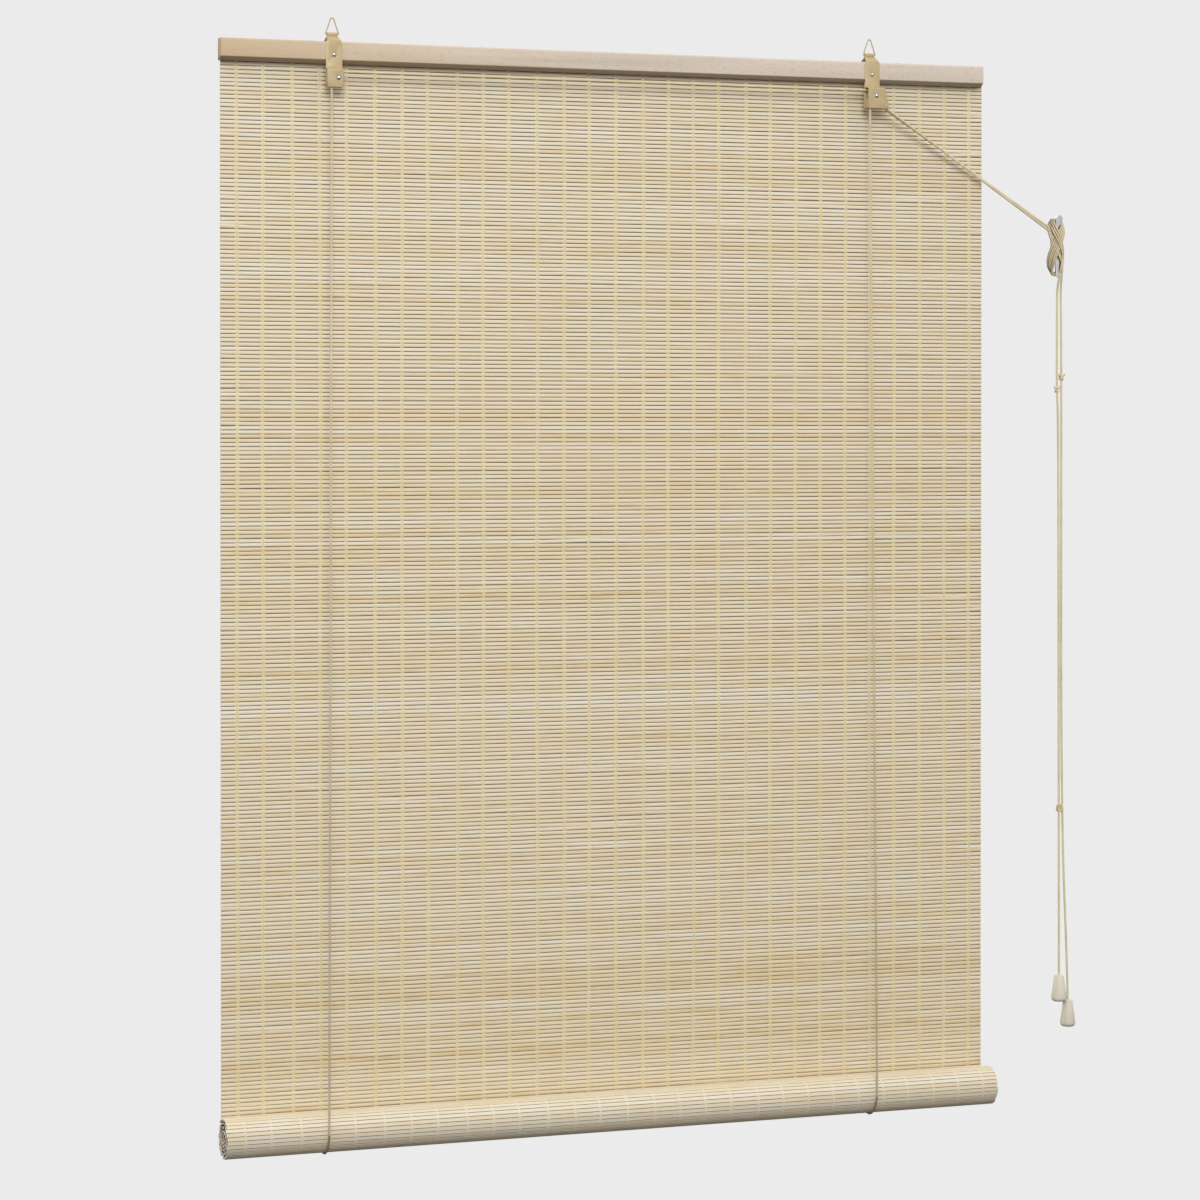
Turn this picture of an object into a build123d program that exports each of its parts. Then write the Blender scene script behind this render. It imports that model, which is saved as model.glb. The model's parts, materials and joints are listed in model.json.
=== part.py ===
from build123d import *
import os
from math import atan2, cos, pi, radians, sin, tan

# A bamboo roll up blind in millimetres: X along the head rail, +Y to the wall, +Z up.
# The origin is on the hook line, where the hanger rings bear on their hooks, midway along the mat.

# Slat mat
mat_width = 1000.0
slat_pitch = 5.01
slat_count = 258
slat_thickness = 2.2
slat_chamfer = 0.9
web_thickness = 0.8
mat_lap = 10.0
gap_count = 120
first_gap = 4
gap_height = 0.5
gap_edge = 20.0

# Warp threads
thread_count = 29
thread_edge = 19.0
thread_width = 2.4
thread_thickness = 0.5
thread_clearance = 0.3
thread_end_gap = 12.0

# Head rail
rail_height = 26.0
rail_depth = 18.0
rail_top_radius = 3.0
rail_bevel_height = 4.0
rail_bevel_depth = 7.0
rail_back_radius = 1.0
rail_shortfall = 3.0
rail_shift = -4.5
hook_to_rail = 28.0

# Rolled end of the mat and the batten in its core
roll_radius = 26.6
roll_turn_pitch = 4.6
roll_core_radius = 6.8
roll_overlength = 4.0
roll_shift = -1.2
seam_gap = 0.3
batten_radius = 6.0
batten_recess = 4.0

# Steel brackets
left_bracket_inset = 135.0
right_bracket_inset = 162.0
sheet = 1.2
bend_radius = 1.4
strap_width = 20.0
neck_width = 12.5
curl_drop = 18.9
curl_inner_radius = 1.4
leg_spread = 0.7
saddle_rise = 1.0
neck_drop = 21.0
flare_drop = 31.0
back_leg = 13.0
jog_drop = 6.0
jog_height = 2.5
left_plate_drop = 29.4
right_plate_left = 11.0
right_plate_top = 12.4
right_plate_foot = 17.2
right_plate_drop = 34.0
cage_rail_gap = 0.3
left_bridge_lift = 3.0
left_bridge_height = 16.0
right_bridge_lift = 0.6
right_bridge_height = 11.8
bridge_gap = 0.3

# Pulleys and their axles
axle_drop = 18.0
left_axle_shift = 4.0
right_axle_shift = 0.5
axle_radius = 2.0
axle_clearance = 0.05
pulley_radius = 8.0
pulley_pitch_radius = 7.5
pulley_width = 6.0
pulley_gap = 0.4
rim_width = 0.6
groove_root_width = 3.1
rivet_head_radius = 3.2
rivet_head_height = 1.9
rivet_tail_radius = 3.0
rivet_tail_height = 1.0

# Exit roller of the right cage
exit_drop = 26.0
exit_roller_radius = 3.0
exit_pin_radius = 1.25

# Hanger rings
ring_wire = 1.6
ring_base = 18.4
ring_top = 3.2
ring_corner = 1.2

# Wood screws of the brackets and staples of the mat and the cords
screw_drop = 16.0
back_screw_drop = 7.0
screw_radius = 1.75
screw_length = 12.0
screw_clearance = 0.1
screw_head_radius = 3.2
screw_head_height = 1.9
staple_count = 13
staple_edge = 30.0
staple_width = 10.0
staple_wire = 1.0
staple_reach = 6.0
staple_lift = 5.0

# Cords
cord = 2.5
cord_clearance = 0.3
joint_gap = 0.3
left_sling_shift = -12.0
anchor_lift = 8.0
anchor_overrun = 3.0

# Wall cleat, on a wall behind the rail's mid-depth
wall_y = 20.0
cleat_offset = 108.0
cleat_drop = 257.0
cleat_height = 81.0
cleat_width = 9.0
bar_front = 17.0
bar_back = 12.0
bar_straight = 44.0
horn_front = 18.5
horn_back = 15.5
stem_root = 32.0
stem_neck = 26.0
cleat_hole_radius = 2.2
cleat_hole_spacing = 16.0

# Hank of cord wound on the cleat
hank_width = 26.0
hank_height = 68.0
hank_corner = 8.0
hank_cover = 4.5
hank_wall_gap = 3.0
hank_edge = 3.0
hank_clearance = 0.3

# Free pull cords, with their knots and tassels: places across, along Y and up from the cleat's middle
pull_entry_1 = (-11.0, 4.0, 19.0)
pull_entry_2 = (-11.0, 8.0, 22.5)
drop_route_1 = (
    (1.0, 11.5, -29.0),
    (0.5, 10.5, -186.0),
    (3.6, 9.0, -731.0),
    (2.7, 6.0, -925.0),
    (2.7, 6.0, -967.0),
)
drop_route_2 = (
    (7.0, 11.5, -27.0),
    (7.4, 10.5, -170.0),
    (6.8, 9.0, -731.0),
    (17.0, 9.0, -957.0),
    (17.0, 9.0, -1001.0),
)
upper_knot_width = 6.0
upper_knot_height = 7.0
joint_knot_width = 10.5
joint_knot_height = 10.0
knot_sides = 8
knot_edge = 1.2
tassel_height = 34.0
tassel_top_radius = 6.2
tassel_bottom_radius = 9.9
tassel_round = 5.0
tassel_bore = 1.7
tassel_counterbore = 5.5
tassel_cavity = 18.0
tassel_knot_width = 8.0
tassel_knot_height = 6.0
bend_run_share = 0.45

# Heights and depths that follow from the sizes above
rail_length = mat_width - rail_shortfall
roll_length = mat_width + roll_overlength
left_bracket_x = -mat_width / 2 + left_bracket_inset
right_bracket_x = mat_width / 2 - right_bracket_inset
cleat_x = mat_width / 2 + cleat_offset
rail_top = -hook_to_rail
rail_bottom = rail_top - rail_height
rail_front = -rail_depth / 2
rail_back = rail_depth / 2
mat_top = rail_bottom + mat_lap
mat_bottom = mat_top - slat_count * slat_pitch
mat_back = rail_back + slat_thickness
ridge_depth = slat_thickness - web_thickness
roll_y = mat_back - roll_radius
roll_z = mat_bottom - seam_gap
axle_z = rail_bottom - axle_drop
left_axle_x = left_bracket_x + left_axle_shift
right_axle_x = right_bracket_x + right_axle_shift
rear_pulley_y = rail_front - pulley_gap - pulley_width / 2
front_pulley_y = rear_pulley_y - pulley_width - pulley_gap
left_plate_y = rear_pulley_y - pulley_width / 2 - pulley_gap - sheet / 2
right_plate_y = front_pulley_y - pulley_width / 2 - pulley_gap - sheet / 2
cord_radius = cord / 2
exit_path_radius = exit_roller_radius + cord_clearance + cord_radius
exit_x = right_axle_x + pulley_pitch_radius + exit_path_radius
exit_z = rail_bottom - exit_drop
sling_radius = roll_radius + cord_clearance + cord_radius
left_lift_x = left_axle_x - pulley_pitch_radius
right_lift_x = right_axle_x - pulley_pitch_radius
left_sling_x = left_lift_x + left_sling_shift
right_sling_x = right_lift_x
back_cord_y = roll_y + sling_radius
pull_slope = atan2(exit_z + cleat_drop - pull_entry_1[2], cleat_x + pull_entry_1[0] - exit_x)


def from_cleat(place):
    """A place given from the cleat's middle, in the part's frame."""
    across, y, up = place
    return Vector(cleat_x + across, y, up - cleat_drop)


drop_points_1 = [from_cleat(place) for place in drop_route_1]
drop_points_2 = [from_cleat(place) for place in drop_route_2]


def along_y(x, y, z):
    """A plane at a point whose normal runs along +Y, for pieces turned about Y."""
    return Plane(origin=(x, y, z), x_dir=(1, 0, 0), z_dir=(0, 1, 0))


def rod(x, y, z, radius, length):
    """A rod along +Y that starts at a point."""
    return extrude(along_y(x, y, z) * Circle(radius), amount=length)


def turned_along_y(x, y, z, points):
    """A piece turned about Y from half a section, given as (radius, place along Y)."""
    half = make_face(Polyline(*points, close=True))
    return Pos(x, y, z) * revolve(half, axis=Axis.Y)


def tube(path, radius=cord_radius):
    """A round tube along a path."""
    return sweep(Plane(origin=path @ 0, z_dir=path % 0) * Circle(radius), path=path)


def straight_cord(start, end):
    """A tight straight stretch of cord."""
    return tube(Wire([Edge.make_line(start, end)]))


def bent_cord(name, points):
    """A free cord along points, with the widest bend that fits at each corner."""
    radii = []
    for before, here, after in zip(points, points[1:], points[2:]):
        run_in = here - before
        run_out = after - here
        half_turn = radians(run_in.get_angle(run_out)) / 2
        radii.append(bend_run_share * min(run_in.length, run_out.length) / tan(half_turn))
    path = FilletPolyline(*points, radius=radii)
    solid = tube(path)
    print(name, "bend radii", [round(r) for r in radii], "length", round(path.length, 1))
    plain_volume = pi * cord_radius**2 * path.length
    print(name, "volume over section times length", round(solid.volume / plain_volume, 4))
    return solid


def knot(place, width, height):
    """A knot as a plain faceted barrel round the cord."""
    body = extrude(RegularPolygon(width / 2, knot_sides), amount=height / 2, both=True)
    ends = body.faces().sort_by(Axis.Z)
    body = chamfer(ends[0].edges() + ends[-1].edges(), length=knot_edge)
    return Pos(*place) * body


# Mat: one wall of slats with a sloping edge on both sides of each front face, and gaps cut through the webs
def mat_section():
    points = []
    for i in range(slat_count):
        top = mat_top - i * slat_pitch
        points.append((rail_back + ridge_depth, top))
        points.append((rail_back, top - slat_chamfer))
        points.append((rail_back, top - slat_pitch + slat_chamfer))
    points.append((rail_back + ridge_depth, mat_bottom))
    points.append((mat_back, mat_bottom))
    points.append((mat_back, mat_top))
    return make_face(Polyline(*points, close=True))


def slat_mat():
    wall = extrude(Plane.YZ * mat_section(), amount=mat_width / 2, both=True)
    slot = Box(mat_width - 2 * gap_edge, 2 * slat_thickness, gap_height)
    spread = slat_count - 2 * first_gap
    rows = [first_gap + i * spread // gap_count for i in range(gap_count)]
    return wall - [Pos(0, mat_back, mat_top - row * slat_pitch) * slot for row in rows]


def threads(y, top, bottom):
    """A group of flat warp threads on one face of the mat."""
    strip = Box(thread_width, thread_thickness, top - bottom)
    spacing = (mat_width - 2 * thread_edge) / (thread_count - 1)
    first = -mat_width / 2 + thread_edge
    return [Pos(first + i * spacing, y, (top + bottom) / 2) * strip for i in range(thread_count)]


# Roll: the same slats wound into a spiral that starts at the seam behind the roll and runs down and forward
def spiral_place(angle, inset):
    radius = roll_radius - roll_turn_pitch * angle / (2 * pi) - inset
    return Vector(roll_y + radius * cos(angle), roll_z - radius * sin(angle))


def roll_section():
    angles = [0]
    while roll_radius - roll_turn_pitch * angles[-1] / (2 * pi) - slat_thickness > roll_core_radius:
        radius = roll_radius - roll_turn_pitch * angles[-1] / (2 * pi)
        angles.append(angles[-1] + slat_pitch / radius)
    outer = []
    for angle, following in zip(angles, angles[1:]):
        edge = spiral_place(angle, 0)
        next_edge = spiral_place(following, 0)
        if angle > 2 * pi:
            outer.append(edge)
            continue
        outer.append(spiral_place(angle, ridge_depth))
        outer.append(edge + (next_edge - edge) * (slat_chamfer / slat_pitch))
        outer.append(next_edge + (edge - next_edge) * (slat_chamfer / slat_pitch))
    outer.append(spiral_place(angles[-1], 0))
    inner = [spiral_place(angle, slat_thickness) for angle in reversed(angles)]
    print("slats in the roll", len(angles) - 1)
    return make_face(Polyline(*outer, *inner, close=True))


def mat_roll():
    return Pos(roll_shift, 0, 0) * extrude(Plane.YZ * roll_section(), amount=roll_length / 2, both=True)


def bottom_batten():
    half = roll_length / 2 - batten_recess
    section = Plane.YZ * Pos(roll_y, roll_z) * Circle(batten_radius)
    return Pos(roll_shift, 0, 0) * extrude(section, amount=half, both=True)


# Head rail: rounded along its top front edge, bevelled along the lower one, with pilot holes for the screws
def rail_section():
    corners = (
        (rail_front, rail_top),
        (rail_back, rail_top),
        (rail_back, rail_bottom),
        (rail_front + rail_bevel_depth, rail_bottom),
        (rail_front, rail_bottom + rail_bevel_height),
    )
    section = make_face(Polyline(*corners, close=True))
    top_front = section.vertices().sort_by(Axis.Y)[-2:].sort_by(Axis.X)[:1]
    section = fillet(top_front, radius=rail_top_radius)
    return fillet(section.vertices().sort_by(Axis.X)[-2:], radius=rail_back_radius)


def head_rail():
    body = extrude(Plane.YZ * rail_section(), amount=rail_length / 2, both=True)
    body = Pos(rail_shift, 0, 0) * body
    hole_radius = screw_radius + screw_clearance
    depth = screw_length + screw_clearance
    for x in (left_bracket_x, right_bracket_x):
        body -= rod(x, rail_front, rail_top - screw_drop, hole_radius, depth)
        body -= rod(x, rail_back - depth, rail_top - back_screw_drop, hole_radius, depth)
    return body


# Brackets: the folded strip's side section, trimmed by its front outline
def bracket_section(plate_y, plate_drop):
    pinch_z = -curl_drop - curl_inner_radius - sheet / 2
    leg_y = rail_depth / 2 + sheet / 2
    shoulder_z = rail_top + saddle_rise
    jog_top = rail_bottom - jog_drop
    front = FilletPolyline(
        (-leg_spread, pinch_z),
        (-leg_y, shoulder_z),
        (-leg_y, jog_top),
        (plate_y, jog_top - jog_height),
        (plate_y, rail_bottom - plate_drop),
        radius=bend_radius,
    )
    back = FilletPolyline(
        (leg_spread, pinch_z),
        (leg_y, shoulder_z),
        (leg_y, rail_top - back_leg),
        radius=bend_radius,
    )
    eye = Pos(0, -curl_drop) * Circle(curl_inner_radius)
    curl = Pos(0, -curl_drop) * Circle(curl_inner_radius + sheet)
    return curl + trace(front, line_width=sheet) + trace(back, line_width=sheet) - eye


def plate_outline(left_half, right_half, right_foot, plate_drop):
    """The corners of a bracket's plate below the jog, clockwise from its top right one."""
    shoulder_z = rail_bottom - jog_drop - jog_height
    foot_z = rail_bottom - plate_drop
    return [(right_half, shoulder_z), (right_foot, foot_z), (-left_half, foot_z), (-left_half, shoulder_z)]


def bracket_outline(plate):
    halves = (
        (neck_width / 2, 0),
        (neck_width / 2, -neck_drop),
        (strap_width / 2, -flare_drop),
        (strap_width / 2, rail_bottom - jog_drop),
    )
    left = [(-half, z) for half, z in reversed(halves)]
    return make_face(Polyline(*halves, *plate_outline(*plate), *left, close=True))


def bracket(x, axle_x, plate_y, plate):
    strip = extrude(Plane.YZ * bracket_section(plate_y, plate[-1]), amount=mat_width, both=True)
    body = Pos(x, 0, 0) * (strip & extrude(Plane.XZ * bracket_outline(plate), amount=mat_width, both=True))
    hole_radius = screw_radius + screw_clearance
    front_hole = rod(x, rail_front - 2 * sheet, rail_top - screw_drop, hole_radius, 2 * sheet)
    back_hole = rod(x, rail_back, rail_top - back_screw_drop, hole_radius, 2 * sheet)
    axle_hole = rod(axle_x, plate_y - sheet, axle_z, axle_radius + axle_clearance, 2 * sheet)
    return body - [front_hole, back_hole, axle_hole]


def cage_plate(x, axle_x, plate_y, plate, bridge_lift, bridge_height):
    """The plate behind a pulley, with a bridge bent forward along its left edge."""
    top_z = rail_bottom - cage_rail_gap
    top = [(-strap_width / 2, top_z), (strap_width / 2, top_z)]
    face = make_face(Polyline(*top, *plate_outline(*plate), close=True))
    body = extrude(Plane.XZ.offset(-rail_front) * face, amount=-sheet)
    front = plate_y + sheet / 2 + bridge_gap
    bridge = Box(sheet, rail_front + sheet - front, bridge_height, align=(Align.MIN, Align.MIN, Align.MIN))
    body += Pos(-plate[0], front, rail_bottom - plate[-1] + bridge_lift) * bridge
    hole = rod(axle_x, rail_front - sheet, axle_z, axle_radius + axle_clearance, 3 * sheet)
    return Pos(x, 0, 0) * body - hole


def exit_pin_hole():
    return rod(exit_x, 2 * right_plate_y, exit_z, exit_pin_radius + axle_clearance, -2 * right_plate_y)


def pulley(x, y):
    half = pulley_width / 2
    root = pulley_pitch_radius - cord_radius - cord_clearance
    bore = axle_radius + axle_clearance
    points = [
        (bore, -half),
        (pulley_radius, -half),
        (pulley_radius, rim_width - half),
        (root, -groove_root_width / 2),
        (root, groove_root_width / 2),
        (pulley_radius, half - rim_width),
        (pulley_radius, half),
        (bore, half),
    ]
    return turned_along_y(x, y, axle_z, points)


def dome(radius, height):
    """Half the section of a domed head that stands out along -Y from zero."""
    crown = (radius**2 + height**2) / (2 * height)
    mid = radians(45) * radius / crown
    waist = (crown * sin(mid), crown - height - crown * cos(mid))
    arc = ThreePointArc((0, -height), waist, (radius, 0))
    base = Edge.make_line((radius, 0), (0, 0))
    axis = Edge.make_line((0, 0), (0, -height))
    return make_face([arc.edge(), base, axis])


def axle_rivet(x, plate_y):
    front = plate_y - sheet / 2
    back = rail_front + sheet
    head = Pos(x, front, axle_z) * revolve(dome(rivet_head_radius, rivet_head_height), axis=Axis.Y)
    shaft = rod(x, front, axle_z, axle_radius, back - front)
    tail = rod(x, back, axle_z, rivet_tail_radius, rivet_tail_height)
    return head + shaft + tail


def wood_screw(x, z, side):
    """A domed wood screw in the rail's front (side -1) or back (side 1)."""
    head = revolve(dome(screw_head_radius, screw_head_height), axis=Axis.Y)
    body = head + rod(0, 0, 0, screw_radius, screw_length)
    place = Pos(x, side * (rail_depth / 2 + sheet), z)
    return place * (body if side < 0 else Rot(0, 0, 180) * body)


def exit_roller():
    width = rail_front - right_plate_y - sheet / 2 - 2 * pulley_gap
    half = width / 2
    bore = exit_pin_radius + axle_clearance
    points = [(bore, -half), (exit_roller_radius, -half), (exit_roller_radius, half), (bore, half)]
    return turned_along_y(exit_x, rail_front - pulley_gap - half, exit_z, points)


def exit_pin():
    front = right_plate_y - sheet / 2
    return rod(exit_x, front, exit_z, exit_pin_radius, rail_front + sheet - front)


def hanger_ring(x):
    wire = ring_wire / 2
    base = -curl_drop
    top = wire
    path = FilletPolyline(
        (-ring_base / 2 + wire, base),
        (ring_base / 2 - wire, base),
        (ring_top / 2, top),
        (-ring_top / 2, top),
        radius=ring_corner,
        close=True,
    )
    return Pos(x, 0, 0) * tube(Plane.XZ * path, wire)


# Staples
def staple(x, z, crown_y, width):
    crown = Box(width, staple_wire, staple_wire)
    leg_length = crown_y - rail_back + staple_reach
    leg = Pos(0, -(staple_wire + leg_length) / 2, 0) * Box(staple_wire, leg_length, staple_wire)
    reach = (width - staple_wire) / 2
    return Pos(x, crown_y + staple_wire / 2, z) * (crown + Pos(-reach, 0, 0) * leg + Pos(reach, 0, 0) * leg)


def mat_staples():
    spacing = (mat_width - 2 * staple_edge) / (staple_count - 1)
    first = -mat_width / 2 + staple_edge
    z = rail_bottom + staple_lift
    return [staple(first + i * spacing, z, mat_back, staple_width) for i in range(staple_count)]


def cord_staples():
    width = cord + 2 * cord_clearance + 2 * staple_wire
    crown_y = back_cord_y + cord_radius + cord_clearance
    z = rail_bottom + anchor_lift
    return [staple(x, z, crown_y, width) for x in (left_sling_x, right_sling_x)]


# Lift cords: over the pulleys and out of the right cage, down to the roll, under it and up behind the mat
def cord_tail(plane):
    """The last stretch inside the right cage: down from the pulley and round the exit roller."""
    down = Line((exit_x - exit_path_radius, axle_z), (exit_x - exit_path_radius, exit_z))
    turn = CenterArc((exit_x, exit_z), exit_path_radius, 180, 90 - pull_slope * 180 / pi)
    return [(plane * down).edge(), (plane * turn).edge()]


def left_cord_head():
    plane = Plane.XZ.offset(-rear_pulley_y)
    over_left = CenterArc((left_axle_x, axle_z), pulley_pitch_radius, 180, -90)
    top = axle_z + pulley_pitch_radius
    run = Line((left_axle_x, top), (right_axle_x, top))
    over_right = CenterArc((right_axle_x, axle_z), pulley_pitch_radius, 90, -90)
    edges = [(plane * line).edge() for line in (over_left, run, over_right)]
    return tube(Wire(edges + cord_tail(plane)))


def right_cord_head():
    plane = Plane.XZ.offset(-front_pulley_y)
    over = CenterArc((right_axle_x, axle_z), pulley_pitch_radius, 180, -180)
    return tube(Wire([(plane * over).edge()] + cord_tail(plane)))


def front_cord(lift_x, pulley_y, sling_x):
    start = (lift_x, pulley_y, axle_z - joint_gap)
    end = (sling_x, roll_y - sling_radius, roll_z + joint_gap)
    return straight_cord(start, end)


def back_cord(sling_x):
    start = (sling_x, back_cord_y, roll_z + joint_gap)
    end = (sling_x, back_cord_y, rail_bottom + anchor_lift + anchor_overrun)
    return straight_cord(start, end)


def cord_sling(x):
    arc = CenterArc((roll_y, roll_z), sling_radius, 180, 180)
    return tube(Plane.YZ.offset(x) * arc)


def pull_cord(pulley_y, entry_place):
    start_x = exit_x - exit_path_radius * sin(pull_slope)
    start_z = exit_z - exit_path_radius * cos(pull_slope)
    leave = Vector(start_x, pulley_y, start_z)
    entry = from_cleat(entry_place)
    start = leave + (entry - leave).normalized() * joint_gap
    return straight_cord(start, entry)


# Cleat and the hank on it
def cleat_body(grow):
    """The cleat's side section trimmed by its front outline, grown by a clearance."""
    side = [
        (wall_y + grow, stem_root / 2),
        (wall_y - bar_back, stem_neck / 2),
        (wall_y - horn_back, cleat_height / 2),
        (wall_y - horn_front, cleat_height / 2),
        (wall_y - bar_front, bar_straight / 2),
    ]
    section = make_face(Polyline(*side, *[(y, -z) for y, z in reversed(side)], close=True))
    outline = Rot(0, 0, 90) * SlotOverall(cleat_height, cleat_width)
    if grow:
        section = offset(section, amount=grow, kind=Kind.INTERSECTION)
        outline = offset(outline, amount=grow)
    bar = extrude(Plane.YZ * section, amount=cleat_width, both=True)
    trim = extrude(Plane.XZ * outline, amount=2 * wall_y, both=True)
    return Pos(cleat_x, 0, -cleat_drop) * (bar & trim)


def cleat():
    holes = []
    for side in (-1, 1):
        z = -cleat_drop + side * cleat_hole_spacing / 2
        holes.append(rod(cleat_x, 0, z, cleat_hole_radius, 2 * wall_y))
    return cleat_body(0) - holes


def cord_hank():
    outline = chamfer(Rectangle(hank_width, hank_height).vertices(), length=hank_corner)
    front = wall_y - bar_front - hank_cover
    depth = wall_y - hank_wall_gap - front
    body = extrude(along_y(cleat_x, front, -cleat_drop) * outline, amount=depth)
    ends = body.faces().sort_by(Axis.Y)
    body = chamfer(ends[0].edges(), length=hank_edge)
    return body - cleat_body(hank_clearance)


def tassel(end):
    """A turned tassel over the end of its cord, which stops on a knot in the cavity."""
    x, y, z = end
    base = tassel_cavity - tassel_height
    slope = (tassel_bottom_radius - tassel_top_radius) / (tassel_height - tassel_round)
    points = [
        (tassel_bore, tassel_cavity),
        (tassel_top_radius, tassel_cavity),
        (tassel_bottom_radius, base + tassel_round),
        (tassel_bottom_radius - tassel_round * slope - tassel_round / 2, base),
        (tassel_counterbore, base),
        (tassel_counterbore, 0),
        (tassel_bore, 0),
    ]
    half = make_face(Polyline(*points, close=True))
    return Pos(x, y, z) * revolve(Plane.XZ * half, axis=Axis.Z)


def tassel_knot(end):
    x, y, z = end
    return knot((x, y, z - tassel_knot_height / 2), tassel_knot_width, tassel_knot_height)


left_plate = (strap_width / 2, strap_width / 2, strap_width / 2, left_plate_drop)
right_plate = (right_plate_left, right_plate_top, right_plate_foot, right_plate_drop)
left_cage = (left_plate_y, left_plate, left_bridge_lift, left_bridge_height)
right_cage = (right_plate_y, right_plate, right_bridge_lift, right_bridge_height)
thread_top = rail_bottom - thread_clearance
front_thread_y = rail_back - thread_clearance - thread_thickness / 2
back_thread_y = mat_back + thread_clearance + thread_thickness / 2
joint_place = (drop_points_1[2] + drop_points_2[2]) / 2

parts = {
    "head_rail": head_rail(),
    "mat_staples": mat_staples(),
    "cord_staples": cord_staples(),
    "left_bracket": bracket(left_bracket_x, left_axle_x, left_plate_y, left_plate),
    "right_bracket": bracket(right_bracket_x, right_axle_x, right_plate_y, right_plate) - exit_pin_hole(),
    "left_cage_plate": cage_plate(left_bracket_x, left_axle_x, *left_cage),
    "right_cage_plate": cage_plate(right_bracket_x, right_axle_x, *right_cage) - exit_pin_hole(),
    "bracket_screws": [
        wood_screw(x, z, side)
        for x in (left_bracket_x, right_bracket_x)
        for z, side in ((rail_top - screw_drop, -1), (rail_top - back_screw_drop, 1))
    ],
    "axle_rivets": [axle_rivet(left_axle_x, left_plate_y), axle_rivet(right_axle_x, right_plate_y)],
    "left_pulley": pulley(left_axle_x, rear_pulley_y),
    "right_front_pulley": pulley(right_axle_x, front_pulley_y),
    "right_rear_pulley": pulley(right_axle_x, rear_pulley_y),
    "exit_roller": exit_roller(),
    "exit_pin": exit_pin(),
    "left_ring": hanger_ring(left_bracket_x),
    "right_ring": hanger_ring(right_bracket_x),
    "slat_mat": slat_mat(),
    "front_threads": threads(front_thread_y, thread_top, mat_bottom + thread_end_gap),
    "back_threads": threads(back_thread_y, thread_top, mat_bottom + thread_end_gap),
    "mat_roll": mat_roll(),
    "bottom_batten": bottom_batten(),
    "left_cord_head": left_cord_head(),
    "left_cord_front": front_cord(left_lift_x, rear_pulley_y, left_sling_x),
    "left_cord_back": back_cord(left_sling_x),
    "right_cord_head": right_cord_head(),
    "right_cord_front": front_cord(right_lift_x, front_pulley_y, right_sling_x),
    "right_cord_back": back_cord(right_sling_x),
    "cord_slings": [cord_sling(left_sling_x), cord_sling(right_sling_x)],
    "pull_cord_1": pull_cord(front_pulley_y, pull_entry_1),
    "pull_cord_2": pull_cord(rear_pulley_y, pull_entry_2),
    "cleat": cleat(),
    "cord_hank": cord_hank(),
    "drop_cord_1": bent_cord("drop_cord_1", drop_points_1),
    "drop_cord_2": bent_cord("drop_cord_2", drop_points_2),
    "upper_knot_1": knot(drop_points_1[1], upper_knot_width, upper_knot_height),
    "upper_knot_2": knot(drop_points_2[1], upper_knot_width, upper_knot_height),
    "joint_knot": knot(joint_place, joint_knot_width, joint_knot_height),
    "tassel_1": tassel(drop_points_1[-1]),
    "tassel_2": tassel(drop_points_2[-1]),
    "tassel_knots": [tassel_knot(drop_points_1[-1]), tassel_knot(drop_points_2[-1])],
}

os.makedirs("parts", exist_ok=True)
for name, shape in parts.items():
    group = shape if isinstance(shape, list) else [shape]
    solids = [solid for piece in group for solid in piece.solids()]
    export_step(solids[0] if len(solids) == 1 else Compound(solids), f"parts/{name}.step")
    print(name, len(solids), "solids")
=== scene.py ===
import json
import math
import bmesh
import bpy
import numpy as np
from mathutils import Matrix, Vector
from mathutils.kdtree import KDTree


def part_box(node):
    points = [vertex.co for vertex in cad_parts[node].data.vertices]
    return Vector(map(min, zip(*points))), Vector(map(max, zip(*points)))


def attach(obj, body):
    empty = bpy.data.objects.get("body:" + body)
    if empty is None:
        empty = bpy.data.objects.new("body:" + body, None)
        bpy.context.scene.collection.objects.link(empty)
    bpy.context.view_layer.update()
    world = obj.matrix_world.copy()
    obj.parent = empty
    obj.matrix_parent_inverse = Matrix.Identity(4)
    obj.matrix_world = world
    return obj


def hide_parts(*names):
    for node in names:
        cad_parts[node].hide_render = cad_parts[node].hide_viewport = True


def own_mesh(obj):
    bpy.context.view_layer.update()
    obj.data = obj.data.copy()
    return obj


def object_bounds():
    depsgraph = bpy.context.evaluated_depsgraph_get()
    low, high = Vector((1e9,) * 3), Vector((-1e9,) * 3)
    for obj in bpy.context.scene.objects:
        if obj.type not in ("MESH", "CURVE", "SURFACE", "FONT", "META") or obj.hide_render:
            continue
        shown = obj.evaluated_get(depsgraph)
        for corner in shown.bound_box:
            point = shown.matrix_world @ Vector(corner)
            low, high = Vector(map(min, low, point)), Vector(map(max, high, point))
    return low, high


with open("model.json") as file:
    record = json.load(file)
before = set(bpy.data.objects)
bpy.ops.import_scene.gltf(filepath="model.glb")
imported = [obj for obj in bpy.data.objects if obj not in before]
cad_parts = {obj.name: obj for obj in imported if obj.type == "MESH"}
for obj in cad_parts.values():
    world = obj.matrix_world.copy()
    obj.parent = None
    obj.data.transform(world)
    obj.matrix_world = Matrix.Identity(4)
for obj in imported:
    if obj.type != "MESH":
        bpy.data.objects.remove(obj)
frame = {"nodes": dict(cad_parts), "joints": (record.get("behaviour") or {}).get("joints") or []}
cad_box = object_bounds()
nodes = frame["nodes"]
mm = 0.001
draw = np.random.default_rng(11)
full_turn = 2 * math.pi

# Mesh making
merge_distance = 0.001 * mm
flat_angle = math.radians(1)
smooth_angle = math.radians(38)
sharp_angle = math.radians(35)
soft_edge_segments = 2

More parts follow.
